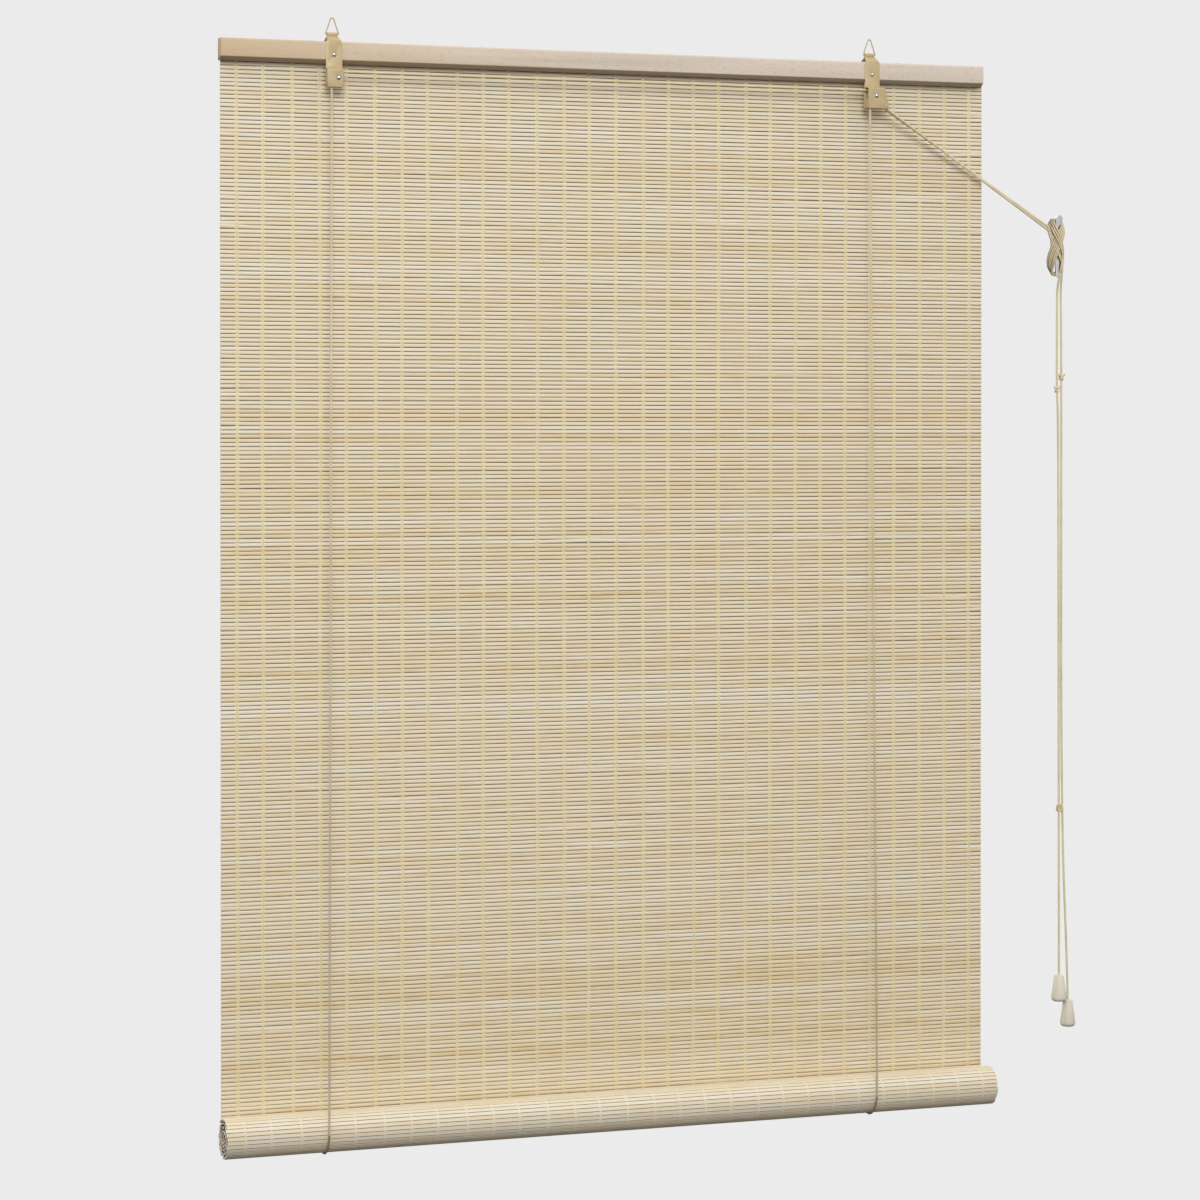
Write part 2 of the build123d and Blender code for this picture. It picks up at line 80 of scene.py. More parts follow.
# Slats of the mat
slat_count = 258
slat_rings = 29
slat_end = 0.4 * mm
slat_front_share = 0.86
slat_back_share = 1.045
slat_round = 1.1 * mm
slat_round_segments = 3
slat_back_round = 0.45 * mm
slat_back_segments = 1
# depths below the front and the back faces at which the painted groove shade starts and is full
groove_start = 0.4 * mm
groove_full = 0.8 * mm
seam_start = 0.12 * mm
seam_full = 0.4 * mm
slat_flush = 0.1 * mm
roll_flush = 0.45 * mm
roll_wobble = 0.35 * mm
roll_paleness = 0.12
# painted shade on the roll: every slat a little darker, the inner turns in shade and the grooves a little
# less dark than on the mat
roll_base_shade = 0.05
roll_slat_share = 0.92
roll_inner_shade = 0.9
roll_groove_shade_share = 0.95
# the painted groove shade grows lighter towards the foot of the mat
foot_groove_shade_fade = 0.4
end_paleness = 0.35
front_wander = 0.2 * mm
sprung_share = 0.08
sprung_wander = 1.0 * mm
stick_shift = 0.1 * mm
slat_map_step = 0.137
tone_middle = 0.52
tone_spread = 0.09
slow_band = 0.05
slow_band_waves = 1.5
slow_band_start = 0.9
quick_band = 0.03
quick_band_rate = 0.41
# painted bounce light: slats warmer and yellower towards the foot, near the roll
foot_bounce_light = 0.12

# Warp threads
thread_columns = 29
thread_edge = 19.0 * mm
thread_wander = 1.1 * mm
strand_height = 0.42 * mm
strand_width_share = 3.3
strand_beside = 1.2 * mm
strand_dip = 0.8 * mm
strand_sunk_share = -0.5
strand_buried_share = -0.75
strand_near_share = 0.4
strand_crossing_shares = (0.24, 0.76)
thread_first_slat = 2
thread_sway = 0.5 * mm
thread_sway_rate = 9
roll_thread_share = 0.65
roll_thread_spare_slats = 2
thread_groups = 3

# Rolled end
roll_radius = 26.6 * mm
roll_turn_pitch = 4.6 * mm
roll_core_radius = 2.2 * mm
roll_gap = 0.3 * mm
sling_clearance = 0.3 * mm
sling_steps = 48
sling_sunk_share = 0.9
sling_free_share = 0.25

# Cords
cord_diameter = 2.5 * mm
cord_fullness = 1.14
strand_count = 3
strand_share = 0.7
strand_lay = 9.5 * mm
strand_step = 1.6 * mm
strand_reference = (0.31, 0.87, 0.38)
# how far a flank turns from the front before its painted crease shade starts and is full
crease_shade_start = -0.92
crease_shade_full = -0.3
crease_margin = 2 * cord_diameter
route_detail = 96
arc_steps = 24
pulley_pitch_radius = 7.5 * mm
exit_path_radius = 4.55 * mm
pull_fall = 158.0 * mm
pull_run = 246.45 * mm
pull_exit_1 = Vector((348.1, -18.8, -83.8)) * mm
pull_exit_2 = Vector((348.1, -12.4, -83.8)) * mm
pull_entry_1 = Vector((597.0, 4.0, -238.8)) * mm
pull_entry_2 = Vector((597.0, 6.0, -233.8)) * mm
drop_route_1 = (
    (607.4, 0.8, -294.0),
    (608.2, 9.0, -314.0),
    (608.5, 10.5, -443.0),
    (611.0, 10.3, -480.0),
    (611.6, 9.0, -988.0),
    (610.7, 6.0, -1182.0),
    (610.7, 6.0, -1224.0),
)
drop_route_2 = (
    (611.2, 0.8, -290.0),
    (613.4, 9.0, -312.0),
    (615.4, 10.5, -427.0),
    (614.8, 9.0, -988.0),
    (625.0, 9.0, -1214.0),
    (625.0, 9.0, -1258.0),
)
straight_lead = 6 * cord_diameter

# Knots of the pull cords, their tails in millimetres
knot_steps = 48
joint_knot_width = 10.5 * mm
joint_knot_height = 11.0 * mm
joint_knot_turn = 0.4
upper_knot_width = 7.5 * mm
upper_knot_height = 8.0 * mm
upper_knot_turn = 1.1
end_knot_width = 8.0 * mm
end_knot_height = 7.0 * mm
end_knot_turn = 0.5
end_knot_drop = 4.0 * mm
knot_tail = ((0.0, -0.5, 0.0), (2.2, -1.4, 1.0), (3.6, -1.6, 2.6), (4.2, -1.4, 4.6))
tail_radius = 0.9 * mm

# Turned tassels
tassel_top_radius = 6.2 * mm
tassel_edge = 0.7 * mm
tassel_bore_radius = 1.7 * mm
tassel_cavity_radius = 5.5 * mm
tassel_foot_round = 5.0 * mm
tassel_foot_share = 0.75
tassel_foot_steps = 8
turned_steps = 48

# Figure eights of cord on the cleat: a lane and a depth in millimetres for each pass of each cord
cleat_middle = Vector((608.0, 0.0, -257.0)) * mm
eight_steps = 24
eight_first_step = 5
eight_last_steps = (56, 80)
eight_lanes = (
    (-1.6, 0.8, -2.0, -0.8, 0.75),
    (-0.7, 1.6, -1.2, 0.0, -0.1, -1.6, 1.6),
)
eight_fronts = (
    (1.5, -0.4, 1.2, -0.6, -2.4),
    (1.5, -0.4, 1.2, -0.6, -2.2, -0.8, -2.6),
)
eight_outer_lane = 2.0
eight_lane_change_share = 0.2
eight_left_width = 10.5 * mm
eight_left_lane_width = 1.9 * mm
eight_right_width = 11.0 * mm
eight_right_lane_width = 0.8 * mm
eight_half_height = 35.0 * mm
eight_rise = 5.5 * mm
eight_shift = -3.0 * mm
eight_lean = 1.6 * mm
eight_lane_rise = 7.2 * mm
eight_lane_depth = 0.8 * mm
eight_end_share = 0.25
eight_back = 10.6 * mm

# Head rail
rail_bevel_height = 4.0 * mm
rail_bevel_depth = 7.0 * mm
rail_top_radius = 3.0 * mm
rail_top_segments = 6
rail_edge_radius = 0.7 * mm
rail_end_radius = 0.6 * mm
rail_edge_segments = 2
rail_end_angle = math.radians(60)
bevel_shade_rate = 2000

# Rounded edges of the fittings
plate_edge = 0.22 * mm
cleat_edge = 0.6 * mm
wheel_edge = 0.15 * mm
roller_edge = 0.2 * mm
staple_edge = 0.15 * mm
batten_edge = 0.5 * mm

# Depth of surface relief
fine_relief = 0.2 * mm
coarse_relief = 0.3 * mm
rub_relief = 0.1 * mm

# Camera, from the photograph's 1200 pixel square
photo_pixels = 1200
focal_pixels = 3321.6
sensor = 36.0
camera_place = Vector((-1360.0, -3889.5, -486.6)) * mm
camera_yaw = math.radians(18.956)
camera_pitch = math.radians(0.567)
camera_shift = -0.12

# Light, surround and floor
key_place = (-1.4, -5.1, 1.9)
key_size = 2.2
key_power = 160
back_place = (0.4, 2.6, 1.2)
back_size = 2.0
back_power = 25
surround_grey = 0.831
fill_strength = 0.6
fill_slope = 0.5
floor_height = -2.1
floor_near = -3.0
floor_far = 1.7
floor_half_width = 3.0
floor_bounce = (0.06, 0.05, 0.035)


class Value:
    """A shader number that takes part in sums and products."""

    def __init__(self, finish, socket):
        self.finish = finish
        self.socket = socket

    def math(self, operation, first, second):
        return self.finish.node("ShaderNodeMath", {"operation": operation}, {0: first, 1: second})

    def __add__(self, other):
        return self.math("ADD", self, other)

    def __sub__(self, other):
        return self.math("SUBTRACT", self, other)

    def __rsub__(self, other):
        return self.math("SUBTRACT", other, self)

    def __mul__(self, other):
        return self.math("MULTIPLY", self, other)

    __radd__ = __add__
    __rmul__ = __mul__


class Finish:
    """A material whose nodes are made one by one."""

    def __init__(self, name):
        self.material = bpy.data.materials.new(name)
        self.material.use_nodes = True
        self.tree = self.material.node_tree
        self.shader = self.tree.nodes["Principled BSDF"]

    def node(self, kind, settings=None, inputs=None, output=0):
        made = self.tree.nodes.new(kind)
        for key, setting in (settings or {}).items():
            if key == "stops":
                self.set_stops(made.color_ramp, setting)
            else:
                setattr(made, key, setting)
        for key, given in (inputs or {}).items():
            self.feed(made.inputs[key], given)
        return Value(self, made.outputs[output])

    def set_stops(self, ramp, stops):
        while len(ramp.elements) < len(stops):
            ramp.elements.new(1.0)
        for element, (place, colour) in zip(ramp.elements, stops):
            element.position = place
            element.color = (*colour, 1)

    def feed(self, socket, given):
        if isinstance(given, Value):
            self.tree.links.new(given.socket, socket)
        else:
            socket.default_value = given

    def attribute(self, name):
        return self.node("ShaderNodeAttribute", {"attribute_name": name}, output="Fac")

    def places(self, stretch, source="Object"):
        """Object or UV coordinates, stretched."""
        coordinates = self.node("ShaderNodeTexCoord", output=source)
        return self.node("ShaderNodeMapping", None, {"Vector": coordinates, "Scale": stretch})

    def noise(self, places, scale, detail):
        return self.node("ShaderNodeTexNoise", None, {"Vector": places, "Scale": scale, "Detail": detail})

    def ramp(self, factor, *stops):
        return self.node("ShaderNodeValToRGB", {"stops": stops}, {"Fac": factor})

    def mix(self, factor, first, second):
        first = first if isinstance(first, Value) else (*first, 1)
        second = second if isinstance(second, Value) else (*second, 1)
        inputs = {0: factor, 6: first, 7: second}
        return self.node("ShaderNodeMix", {"data_type": "RGBA"}, inputs, output=2)

    def bump(self, height, strength, distance):
        inputs = {"Height": height, "Strength": strength, "Distance": distance}
        return self.node("ShaderNodeBump", None, inputs)

    def done(self, **inputs):
        for name, given in inputs.items():
            self.feed(self.shader.inputs[name.replace("_", " ")], given)
        return self.material


def bamboo_finish():
    """Split bamboo: each slat has its own tone and fine fibres run along it; painted shade darkens its
    edges where they sink into the grooves between slats.
    """
    f = Finish("split_bamboo")
    tone = f.attribute("tone")
    # edge carries painted groove shade, from none on the open faces to full deep in the grooves
    edge = f.attribute("edge")
    fibres = f.noise(f.places((9, 1500, 1), "UV"), 1.0, 2.0)
    clouds = f.noise(f.places((16, 60, 1), "UV"), 1.0, 3.0)
    shade = tone + (fibres - 0.5) * 0.5 + (clouds - 0.5) * 0.8
    cream = f.ramp(
        shade,
        (0.0, (0.64, 0.48, 0.25)),
        (0.3, (0.74, 0.62, 0.41)),
        (0.6, (0.78, 0.69, 0.52)),
        (1.0, (0.82, 0.78, 0.68)),
    )
    # painted shadow colour for the grooves between slats, from orange brown to near black
    groove_shadow = f.ramp(clouds, (0.49, (0.24, 0.12, 0.035)), (0.58, (0.022, 0.012, 0.005)))
    colour = f.mix(edge, cream, groove_shadow)
    rough = 0.52 + fibres * 0.2
    return f.done(
        Base_Color=colour,
        Roughness=rough,
        Specular_IOR_Level=0.1,
        Normal=f.bump(fibres, 0.25, fine_relief),
    )


def thread_finish():
    """Spun pale yellow cotton."""
    f = Finish("spun_thread")
    fuzz = f.noise(f.places((1, 1, 1)), 1400.0, 2.0)
    patches = f.noise(f.places((1, 1, 0.3)), 45.0, 2.0)
    shade = fuzz * 0.5 + patches * 0.5
    colour = f.ramp(
        shade,
        (0.25, (0.66, 0.53, 0.26)),
        (0.55, (0.75, 0.63, 0.35)),
        (0.8, (0.80, 0.71, 0.45)),
    )
    return f.done(
        Base_Color=colour,
        Roughness=0.85,
        Specular_IOR_Level=0.15,
        Sheen_Weight=0.05,
        Normal=f.bump(fuzz, 0.4, fine_relief),
    )


def rail_finish():
    """Planed pale hardwood with fine pores, warmer at the left, with painted shade on the bevel under its
    front.
    """
    f = Finish("planed_hardwood")
    grain = f.noise(f.places((4, 90, 90)), 1.0, 5.0)
    pores = f.noise(f.places((120, 900, 900)), 1.0, 2.0)
    patches = f.noise(f.places((7, 20, 20)), 1.0, 2.0)
    leftward = f.node("ShaderNodeSeparateXYZ", None, {0: f.places((-1, 1, 1))})
    height = f.node("ShaderNodeSeparateXYZ", None, {0: f.places((1, 1, 1))}, output=2)
    pale = f.ramp(
        grain,
        (0.3, (0.56, 0.475, 0.385)),
        (0.5, (0.63, 0.54, 0.445)),
        (0.72, (0.68, 0.60, 0.50)),
    )
    warmth = f.node("ShaderNodeClamp", None, {0: leftward * 2.2 - 0.15 + (patches - 0.5) * 0.8})
    paleness = f.node("ShaderNodeClamp", None, {0: leftward * -1.5})
    warm = f.mix(warmth, pale, (0.56, 0.41, 0.24))
    toned = f.mix(paleness, warm, (0.70, 0.61, 0.51))
    bevel_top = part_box("head_rail")[0].z + rail_bevel_height
    # painted shade on the downward bevel under the rail's front; the dark brown below is the shade colour
    bevel_shade = f.node("ShaderNodeClamp", None, {0: (bevel_top - height) * bevel_shade_rate})
    flecks = f.ramp(pores, (0.30, (1, 1, 1)), (0.42, (0, 0, 0)))
    speckle = f.node("ShaderNodeRGBToBW", None, {0: flecks}) * 0.6
    speckled = f.mix(speckle, toned, (0.42, 0.32, 0.22))
    colour = f.mix(bevel_shade * 0.7, speckled, (0.20, 0.14, 0.08))
    return f.done(
        Base_Color=colour,
        Roughness=0.5 + grain * 0.15,
        Specular_IOR_Level=0.35,
        Normal=f.bump(pores, 0.18, coarse_relief),
    )


def paint_finish():
    """Beige stove enamel on folded steel, with a faint orange peel."""
    f = Finish("beige_enamel")
    peel = f.noise(f.places((1, 1, 1)), 900.0, 2.0)
    drift = f.noise(f.places((1, 1, 1)), 60.0, 2.0)
    colour = f.ramp(drift, (0.3, (0.465, 0.355, 0.18)), (0.7, (0.53, 0.41, 0.225)))
    return f.done(
        Base_Color=colour,
        Roughness=0.36 + drift * 0.12,
        Coat_Weight=0.1,
        Normal=f.bump(peel, 0.08, fine_relief),
    )


def steel_finish(name, tint, roughness):
    """Plated steel with fine rub marks."""
    f = Finish(name)
    rubs = f.noise(f.places((1, 1, 0.2)), 1200.0, 3.0)
    colour = f.ramp(rubs, (0.3, tuple(0.86 * c for c in tint)), (0.7, tint))
    return f.done(
        Base_Color=colour,
        Metallic=1.0,
        Roughness=roughness + rubs * 0.12,
        Normal=f.bump(rubs, 0.05, rub_relief),
    )


def nylon_finish():
    """Moulded nylon of the wheels."""
    f = Finish("moulded_nylon")
    mould = f.noise(f.places((1, 1, 1)), 500.0, 2.0)
    colour = f.ramp(mould, (0.3, (0.40, 0.32, 0.20)), (0.7, (0.46, 0.37, 0.24)))
    return f.done(
        Base_Color=colour,
        Roughness=0.4 + mould * 0.1,
        Normal=f.bump(mould, 0.05, fine_relief),
    )


def cord_finish(name, foot_darkening):
    """Cotton cord, off white, darker towards its foot, with painted shade in the creases between its
    turns.
    """
    f = Finish(name)
    fibres = f.noise(f.places((1, 1, 0.35)), 1900.0, 3.0)
    soil = f.noise(f.places((1, 1, 1)), 38.0, 2.0)
    shade = fibres * 0.6 + soil * 0.4
    clean = f.ramp(
        shade,
        (0.28, (0.51, 0.41, 0.24)),
        (0.5, (0.67, 0.57, 0.37)),
        (0.75, (0.80, 0.71, 0.50)),
    )
    height = f.node("ShaderNodeSeparateXYZ", None, {0: f.places((1, 1, 1))}, output=2)
    # the cord grows darker towards its foot, by the given share
    downward = f.node("ShaderNodeClamp", None, {0: height * -1.2 - 0.45})
    darkened = f.mix(downward * foot_darkening, clean, (0.27, 0.22, 0.13))
    # painted shade in the creases between the cord's turns on the cleat
    colour = f.mix(f.attribute("crease"), darkened, (0.13, 0.085, 0.035))
    return f.done(
        Base_Color=colour,
        Roughness=0.8,
        Specular_IOR_Level=0.25,
        Sheen_Weight=0.15,
        Normal=f.bump(fibres, 0.35, fine_relief),
    )


def tassel_finish():
    """Turned pale wood with rings up its length."""
    f = Finish("turned_wood")
    grain = f.noise(f.places((160, 160, 12)), 1.0, 4.0)
    colour = f.ramp(
        grain,
        (0.3, (0.60, 0.53, 0.42)),
        (0.55, (0.69, 0.63, 0.52)),
        (0.75, (0.74, 0.69, 0.59)),
    )
    return f.done(
        Base_Color=colour,
        Roughness=0.45 + grain * 0.15,
        Specular_IOR_Level=0.4,
        Normal=f.bump(grain, 0.1, coarse_relief),
    )


bamboo = bamboo_finish()
thread = thread_finish()
hardwood = rail_finish()
enamel = paint_finish()
bright_steel = steel_finish("bright_steel", (0.55, 0.55, 0.56), 0.10)
cleat_steel = steel_finish("cleat_zinc", (0.60, 0.60, 0.62), 0.28)
nylon = nylon_finish()
cotton = cord_finish("laid_cord", 0.0)
# lift and sling cords darker towards their foot
lift_cotton = cord_finish("laid_lift_cord", 0.42)
sling_cotton = cord_finish("laid_sling_cord", 0.95)
turned_wood = tassel_finish()


def mesh_from(bm, name):
    """The finished mesh of a bmesh: outward faces, smooth but for its sharp edges."""
    bmesh.ops.recalc_face_normals(bm, faces=bm.faces)
    mesh = bpy.data.meshes.new(name)
    bm.to_mesh(mesh)
    bm.free()
    mesh.shade_smooth()
    mesh.set_sharp_from_angle(angle=smooth_angle)
    return mesh


def add_piece(mesh, finish, slot, body, *stood_for):
    """Shows a mesh as a piece that rides on a body and stands for CAD nodes."""
    piece = bpy.data.objects.new(mesh.name, mesh)
    bpy.context.scene.collection.objects.link(piece)
    mesh.materials.clear()
    mesh.materials.append(finish)
    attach(piece, body)
    if stood_for:
        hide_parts(*stood_for)
    return piece


def edges_over(bm, angle):
    """The edges at which two faces meet at more than an angle."""
    return [e for e in bm.edges if len(e.link_faces) == 2 and e.calc_face_angle() > angle]


def soften(bm, width):
    """Rounds every sharp edge."""
    bmesh.ops.bevel(
        bm,
        geom=edges_over(bm, sharp_angle),
        offset=width,
        segments=soft_edge_segments,
        profile=0.5,
        affect="EDGES",
        material=-1,
        clamp_overlap=True,
    )


def softened_copy(node, width):
    """A CAD node's form, merged and with its sharp edges rounded."""
    bm = bmesh.new()
    bm.from_mesh(nodes[node].data)
    bmesh.ops.remove_doubles(bm, verts=bm.verts, dist=merge_distance)
    bmesh.ops.dissolve_limit(bm, angle_limit=flat_angle, verts=bm.verts, edges=bm.edges)
    if width:
        soften(bm, width)
    return mesh_from(bm, node + "_dressed")


def repeat_mesh(template, count, name):
    """One mesh of many copies of a template, and its corners as one row per copy."""
    bm = bmesh.new()
    for _ in range(count):
        bm.from_mesh(template)
    mesh = mesh_from(bm, name)
    places = np.empty(len(mesh.vertices) * 3, np.float32)
    mesh.vertices.foreach_get("co", places)
    return mesh, places.reshape(count, -1, 3).astype(float)


def set_places(mesh, places):
    mesh.vertices.foreach_set("co", places.astype(np.float32).ravel())
    mesh.update()


def set_values(mesh, name, values):
    layer = mesh.attributes.new(name, "FLOAT", "POINT")
    layer.data.foreach_set("value", values.astype(np.float32).ravel())


def set_flat_map(mesh, across, along):
    """A UV map of two lengths per corner."""
    corners = np.empty(len(mesh.loops), np.int32)
    mesh.loops.foreach_get("vertex_index", corners)
    flat = np.column_stack((across.ravel(), along.ravel()))[corners]
    mesh.uv_layers.new(name="UVMap").data.foreach_set("uv", flat.astype(np.float32).ravel())


# Mat
mat_low, mat_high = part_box("slat_mat")
slat_pitch = (mat_high.z - mat_low.z) / slat_count
slat_thickness = mat_high.y - mat_low.y
lift_travel = next(j["range_m"][1] for j in frame["joints"] if j["name"] == "lift")
mat_keep = 1 - lift_travel / (mat_high.z - mat_low.z)


def stick_template():
    """One slat along X about the origin, its front at the low side of Y and rounder than its back."""
    bm = bmesh.new()
    bmesh.ops.create_grid(bm, x_segments=1, y_segments=1, size=0.5)
    turn = Matrix(((0, 0, 1), (1, 0, 0), (0, 1, 0)))
    bm.transform(turn.to_4x4())
    bmesh.ops.scale(bm, vec=(1, slat_thickness, slat_pitch), verts=bm.verts)
    back = [v for v in bm.verts if v.co.y > 0]
    front = [v for v in bm.verts if v.co.y < 0]
    bmesh.ops.scale(bm, vec=(1, 1, slat_front_share), verts=front)
    bmesh.ops.scale(bm, vec=(1, 1, slat_back_share), verts=back)
    rounds = (
        (back, slat_back_round, slat_back_segments),
        (front, slat_round, slat_round_segments),
    )
    for corners, width, segments in rounds:
        bmesh.ops.bevel(
            bm, geom=corners, offset=width, segments=segments, profile=0.5, affect="VERTICES", material=-1
        )
    bmesh.ops.translate(bm, vec=(mat_low.x, 0, 0), verts=bm.verts)
    span = (mat_high.x - mat_low.x) / (slat_rings - 1)
    steps = [slat_end, span - slat_end] + [span] * (slat_rings - 3) + [span - slat_end, slat_end]
    rim = list(bm.edges)
    bmesh.ops.delete(bm, geom=list(bm.faces), context="FACES_ONLY")
    for step in steps:
        made = bmesh.ops.extrude_edge_only(bm, edges=rim)["geom"]
        rim = [e for e in made if isinstance(e, bmesh.types.BMEdge)]
        verts = [v for v in made if isinstance(v, bmesh.types.BMVert)]
        bmesh.ops.translate(bm, vec=(step, 0, 0), verts=verts)
    ends = [e for e in bm.edges if e.is_boundary]
    bmesh.ops.holes_fill(bm, edges=ends, sides=0)
    return mesh_from(bm, "stick_template")


def stick_groove_shade(places):
    """Painted groove shade at each corner of the untouched slats, by how deep in the groove it lies, with
    the cut ends pale.
    """
    depth = slat_thickness / 2 - np.abs(places[..., 1])
    groove = (depth - groove_start) / (groove_full - groove_start)
    seam = (depth - seam_start) / (seam_full - seam_start)
    shade = np.clip(np.where(places[..., 1] < 0, groove, seam), 0, 1)
    return np.where(at_ends(places), 0, shade)


def at_ends(places):
    """Which corners lie on the cut ends of the slats."""
    return np.minimum(places[..., 0] - mat_low.x, mat_high.x - places[..., 0]) < slat_end / 2


def wander(count):
    """How far the front edges of slats stray at each ring along them."""
    stray = draw.normal(0, front_wander, (count, slat_rings))
    sprung = draw.random((count, slat_rings)) < sprung_share
    stray += np.where(sprung, draw.normal(0, sprung_wander, (count, slat_rings)), 0)
    stray[:, 1:-1] = (stray[:, :-2] + 2 * stray[:, 1:-1] + stray[:, 2:]) / 4
    return stray


def slat_tones(count):
    """A tone for each slat: mostly its own, with slow bands along the mat and painted bounce light warming
    the slats near the foot.
    """
    rows = np.arange(count)
    slow = slow_band * np.sin(rows / count * full_turn * slow_band_waves + slow_band_start)
    bands = slow + quick_band * np.sin(rows * quick_band_rate)
    # painted bounce light from the roll, growing towards the foot
    bounce_light = foot_bounce_light * (rows / count) ** 3
    return np.clip(tone_middle + bands - bounce_light + draw.normal(0, tone_spread, count), 0, 1)


def shaped_sticks(template, count, shown, name, flush, paleness, base_shade, groove_shade_shares):
    """Slats on the origin with their strays, tones, painted shade and maps, and one row of corners per
    slat.
    """
    mesh, places = repeat_mesh(template, count, name)
    along = (places[..., 0] - mat_low.x) / (mat_high.x - mat_low.x)
    rings = np.rint(along * (slat_rings - 1)).astype(int)
    # painted shade: groove shade on the open slats, a base shade under all, full shade on the roll's inner
    # turns
    painted_shade = base_shade + (1 - base_shade) * stick_groove_shade(places) * groove_shade_shares[:, None]
    painted_shade[shown:] = np.where(at_ends(places[shown:]), 0, roll_inner_shade)
    set_values(mesh, "edge", painted_shade)
    tones = (slat_tones(count) + paleness)[:, None]
    set_values(mesh, "tone", tones + at_ends(places) * end_paleness)
    shifts = (np.arange(count) * slat_map_step)[:, None]
    set_flat_map(mesh, places[..., 0] + shifts, places[..., 2] + shifts)
    front_share = np.clip(-places[..., 1] / (slat_thickness / 2), 0, 1)
    stray = np.take_along_axis(wander(count), rings, axis=1)
    places[..., 2] += stray * front_share
    ends = draw.normal(0, flush, (count, 2))
    places[..., 0] += np.where(rings == 0, ends[:, :1], 0)
    places[..., 0] += np.where(rings == slat_rings - 1, ends[:, 1:], 0)
    places[..., 1] += draw.normal(0, stick_shift, count)[:, None] * front_share
    return mesh, places


template_stick = stick_template()
# painted groove shade, less of it towards the foot of the mat
mat_groove_shade_shares = 1 - foot_groove_shade_fade * (np.arange(slat_count) / slat_count) ** 2
mat_mesh, mat_places = shaped_sticks(
    template_stick, slat_count, slat_count, "bamboo_slats", slat_flush, 0, 0, mat_groove_shade_shares
)
slat_heights = mat_high.z - (np.arange(slat_count) + 0.5) * slat_pitch
mat_places[..., 1] += (mat_low.y + mat_high.y) / 2
mat_places[..., 2] += slat_heights[:, None]
set_places(mat_mesh, mat_places)
bamboo_slats = add_piece(mat_mesh, bamboo, "bamboo", "blind", "slat_mat")
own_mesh(bamboo_slats)


def curve_mesh(name, lines, radius, resolution=0, closed=False):
    """Round strands along lines of points, as one mesh."""
    curve = bpy.data.curves.new(name, "CURVE")
    curve.dimensions = "3D"
    curve.bevel_depth = radius
    curve.bevel_resolution = resolution
    curve.use_fill_caps = True
    for line in lines:
        spline = curve.splines.new("POLY")
        spline.points.add(len(line) - 1)
        weighted = np.column_stack((line, np.ones(len(line))))
        spline.points.foreach_set("co", weighted.astype(np.float32).ravel())
        spline.use_cyclic_u = closed
        spline.use_smooth = True
    holder = bpy.data.objects.new(name, curve)
    mesh = bpy.data.meshes.new_from_object(holder)
    mesh.name = name
    bpy.data.objects.remove(holder)
    bpy.data.curves.remove(curve)
    return mesh


# Warp threads: a twined pair at each column, one strand before and one behind each slat in turn
thread_spacing = (mat_high.x - mat_low.x - 2 * thread_edge) / (thread_columns - 1)
column_places = mat_low.x + thread_edge + thread_spacing * np.arange(thread_columns)
column_places = column_places + draw.normal(0, thread_wander, thread_columns)


def twined_pair(count, first=0):
    """Two strands over slats on a flat mat: (across, share of the way out, slats along) for each point."""
    lines = []
    for side in (1, -1):
        line = []
        for slat in range(first, count):
            out = side if slat % 2 == 0 else -side
            line.append((out * strand_beside, 0.0, slat))
            for way, share in zip((out, -out), strand_crossing_shares):
                line.append((way * strand_beside * strand_near_share, out, slat + share))
        lines.append(np.array(line))
    return lines


def mat_threads(group, columns):
    reach = slat_thickness / 2 + strand_height * strand_sunk_share
    lines = []
    for line in twined_pair(slat_count, first=thread_first_slat):
        across = line[:, 0] / strand_width_share
        middle = (mat_low.y + mat_high.y) / 2 - (line[:, 1] == 0) * strand_dip
        height = mat_high.z - line[:, 2] * slat_pitch
        lines.append(np.column_stack((across, middle - line[:, 1] * reach, height)))
    template = curve_mesh("thread_template", lines, strand_height)
    mesh, places = repeat_mesh(template, len(columns), f"warp_threads_{group}")
    places[..., 0] *= strand_width_share
    places[..., 0] += columns[:, None]
    phases = draw.random(len(columns))[:, None] * full_turn
    places[..., 0] += thread_sway * np.sin(places[..., 2] * thread_sway_rate + phases)
    set_places(mesh, places)
    piece = add_piece(mesh, thread, "thread", "blind")
    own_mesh(piece)
    return piece


for group, columns in enumerate(np.array_split(column_places, thread_groups)):
    mat_threads(group + 1, columns)
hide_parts("front_threads", "back_threads")

# Roll: the same slats on a spiral that starts behind the roll, their backs outwards
roll_low, roll_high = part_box("mat_roll")
roll_y = mat_high.y - roll_radius
roll_z = mat_low.z - roll_gap
roll_shift = (roll_low.x + roll_high.x) / 2
roll_stretch = (roll_high.x - roll_low.x) / (mat_high.x - mat_low.x)


def spiral_angles():
    """The angle at which each slat of the roll starts, outermost first."""
    angles = [0.0]
    radius = roll_radius
    while radius - slat_thickness > roll_core_radius:
        angles.append(angles[-1] + slat_pitch / radius)
        radius = roll_radius - roll_turn_pitch * angles[-1] / full_turn
    return np.array(angles)


roll_angles = spiral_angles()


def wound(across, out, along):
    """A place on the roll from a place on the flat mat: out from the slats' middle, along in slats."""
    angle = np.interp(along, np.arange(len(roll_angles)), roll_angles)
    radius = roll_radius - slat_thickness / 2 - roll_turn_pitch * angle / full_turn + out
    depth = roll_y + radius * np.cos(angle)
    height = roll_z - radius * np.sin(angle)
    return np.stack((across + roll_shift, depth, height), -1)


